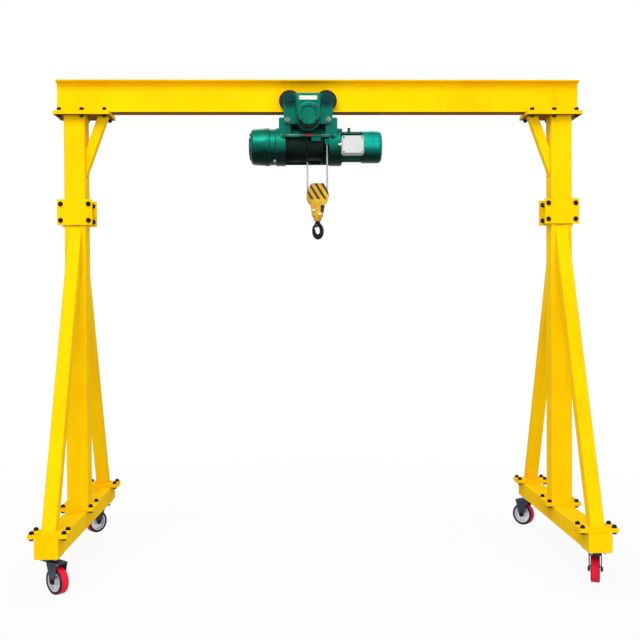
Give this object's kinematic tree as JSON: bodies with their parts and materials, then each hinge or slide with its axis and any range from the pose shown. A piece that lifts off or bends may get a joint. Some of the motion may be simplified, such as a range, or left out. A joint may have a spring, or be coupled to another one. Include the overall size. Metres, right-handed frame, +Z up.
{
  "type": "mobile gantry crane",
  "caption": "Wheeled A-frame gantry crane of bolted square tube with a rolled I-beam, electric wire rope hoist on a motor trolley, hook block and swivel casters.",
  "frame": {"origin": "on the floor under the middle of the beam", "axes": "+X along the beam, +Y across the legs away from the control box, +Z up"},
  "size_m": [3.25, 1.672, 2.965],
  "materials": {
    "frame_yellow": "gloss",
    "hoist_green": "gloss",
    "box_grey": "satin",
    "block_yellow": "satin",
    "zinc_steel": "satin",
    "dark_iron": "matte",
    "hub_iron": "satin",
    "red_tyre": "satin",
    "rope_steel": "satin"
  },
  "bodies": {
    "frame": {"main_beam": "frame_yellow", "beam_saddle_plates": "frame_yellow", "column_cap_plates": "frame_yellow", "knee_braces": "frame_yellow", "upper_column_left": "frame_yellow", "upper_column_right": "frame_yellow", "lower_column_left": "frame_yellow", "lower_column_right": "frame_yellow", "leg_braces_left": "frame_yellow", "leg_braces_right": "frame_yellow", "base_beam_left": "frame_yellow", "base_beam_right": "frame_yellow", "column_splice_plates": "frame_yellow", "leg_foot_plates": "frame_yellow", "base_seat_plates": "frame_yellow", "base_end_caps": "frame_yellow", "caster_plates": "zinc_steel"},
    "caster_swivel_front_left": {"caster_fork_front_left": "zinc_steel"},
    "caster_wheel_front_left": {"caster_hub_front_left": "hub_iron", "caster_tyre_front_left": "red_tyre"},
    "caster_swivel_front_right": {"caster_fork_front_right": "zinc_steel"},
    "caster_wheel_front_right": {"caster_hub_front_right": "hub_iron", "caster_tyre_front_right": "red_tyre"},
    "caster_swivel_rear_left": {"caster_fork_rear_left": "zinc_steel"},
    "caster_wheel_rear_left": {"caster_hub_rear_left": "hub_iron", "caster_tyre_rear_left": "red_tyre"},
    "caster_swivel_rear_right": {"caster_fork_rear_right": "zinc_steel"},
    "caster_wheel_rear_right": {"caster_hub_rear_right": "hub_iron", "caster_tyre_rear_right": "red_tyre"},
    "trolley": {"trolley_side_front": "hoist_green", "trolley_side_rear": "hoist_green", "hanger_rods": "zinc_steel", "drive_case": "hoist_green", "travel_motor": "hoist_green", "drum_casing": "hoist_green", "limit_rod": "zinc_steel", "gear_housing": "hoist_green", "gear_cover": "hoist_green", "motor_housing": "hoist_green", "fan_cover": "hoist_green", "control_box": "box_grey", "rope_falls": "rope_steel"},
    "trolley_wheel_front_left": {"trolley_wheel_front_left": "dark_iron"},
    "trolley_wheel_front_right": {"trolley_wheel_front_right": "dark_iron"},
    "trolley_wheel_rear_left": {"trolley_wheel_rear_left": "dark_iron"},
    "trolley_wheel_rear_right": {"trolley_wheel_rear_right": "dark_iron"},
    "drum": {"rope_drum": "rope_steel"},
    "hook_block": {"block_casing": "block_yellow", "rope_wrap": "rope_steel"},
    "sheave_wheel": {"sheave": "dark_iron"},
    "load_hook": {"hook": "dark_iron"},
    "latch": {"hook_latch": "zinc_steel"}
  },
  "joints": [
    {"name": "caster_turn_front_left", "type": "hinge", "parent": "frame", "child": "caster_swivel_front_left", "pos_m": [-1.507, -0.73, 0.176], "axis": [0, 0, 1], "continuous": true},
    {"name": "caster_roll_front_left", "type": "hinge", "parent": "caster_swivel_front_left", "child": "caster_wheel_front_left", "pos_m": [-1.46241, -0.77015, 0.075], "axis": [0.6691, 0.7431, 0], "continuous": true},
    {"name": "caster_turn_front_right", "type": "hinge", "parent": "frame", "child": "caster_swivel_front_right", "pos_m": [1.507, -0.73, 0.176], "axis": [0, 0, 1], "continuous": true},
    {"name": "caster_roll_front_right", "type": "hinge", "parent": "caster_swivel_front_right", "child": "caster_wheel_front_right", "pos_m": [1.52554, -0.67294, 0.075], "axis": [-0.9511, 0.309, 0], "continuous": true},
    {"name": "caster_turn_rear_left", "type": "hinge", "parent": "frame", "child": "caster_swivel_rear_left", "pos_m": [-1.507, 0.73, 0.176], "axis": [0, 0, 1], "continuous": true},
    {"name": "caster_roll_rear_left", "type": "hinge", "parent": "caster_swivel_rear_left", "child": "caster_wheel_rear_left", "pos_m": [-1.54715, 0.68541, 0.075], "axis": [0.7431, -0.6691, 0], "continuous": true},
    {"name": "caster_turn_rear_right", "type": "hinge", "parent": "frame", "child": "caster_swivel_rear_right", "pos_m": [1.507, 0.73, 0.176], "axis": [0, 0, 1], "continuous": true},
    {"name": "caster_roll_rear_right", "type": "hinge", "parent": "caster_swivel_rear_right", "child": "caster_wheel_rear_right", "pos_m": [1.46241, 0.77015, 0.075], "axis": [-0.6691, -0.7431, 0], "continuous": true},
    {"name": "trolley_travel", "type": "slide", "parent": "frame", "child": "trolley", "axis": [1, 0, 0], "range_m": [-0.85, 0.89]},
    {"name": "trolley_wheel_front_left_roll", "type": "hinge", "parent": "trolley", "child": "trolley_wheel_front_left", "pos_m": [-0.183, -0.0425, 2.8313], "axis": [0, 1, 0], "continuous": true},
    {"name": "trolley_wheel_front_right_roll", "type": "hinge", "parent": "trolley", "child": "trolley_wheel_front_right", "pos_m": [0.043, -0.0425, 2.8313], "axis": [0, 1, 0], "continuous": true},
    {"name": "trolley_wheel_rear_left_roll", "type": "hinge", "parent": "trolley", "child": "trolley_wheel_rear_left", "pos_m": [-0.183, 0.0425, 2.8313], "axis": [0, 1, 0], "continuous": true},
    {"name": "trolley_wheel_rear_right_roll", "type": "hinge", "parent": "trolley", "child": "trolley_wheel_rear_right", "pos_m": [0.043, 0.0425, 2.8313], "axis": [0, 1, 0], "continuous": true},
    {"name": "hook_lift", "type": "slide", "parent": "trolley", "child": "hook_block", "axis": [0, 0, 1], "range_m": [-1.9, 0.06], "deforming": ["rope_falls"]},
    {"name": "drum_turn", "type": "hinge", "parent": "trolley", "child": "drum", "pos_m": [-0.07, 0.04, 2.5625], "axis": [1, 0, 0], "continuous": true},
    {"name": "sheave_turn", "type": "hinge", "parent": "hook_block", "child": "sheave_wheel", "pos_m": [-0.014, -0.05, 2.245], "axis": [0, 1, 0], "continuous": true},
    {"name": "hook_swivel", "type": "hinge", "parent": "hook_block", "child": "load_hook", "pos_m": [-0.014, -0.05, 2.031], "axis": [0, 0, 1], "continuous": true},
    {"name": "latch_hinge", "type": "hinge", "parent": "load_hook", "child": "latch", "pos_m": [-0.014, -0.05, 2.078], "axis": [0.6691, -0.7431, 0], "range_deg": [0, 38], "stiffness_Nm_per_rad": 0.06, "springref_deg": -34.38}
  ],
  "couplings": [
    {"joint": "trolley_wheel_front_left_roll", "follows": "trolley_travel", "rad_per_m": 17.857},
    {"joint": "trolley_wheel_front_right_roll", "follows": "trolley_travel", "rad_per_m": 17.857},
    {"joint": "trolley_wheel_rear_left_roll", "follows": "trolley_travel", "rad_per_m": 17.857},
    {"joint": "trolley_wheel_rear_right_roll", "follows": "trolley_travel", "rad_per_m": 17.857},
    {"joint": "drum_turn", "follows": "hook_lift", "rad_per_m": -22.222},
    {"joint": "sheave_turn", "follows": "hook_lift", "rad_per_m": 16.393}
  ]
}
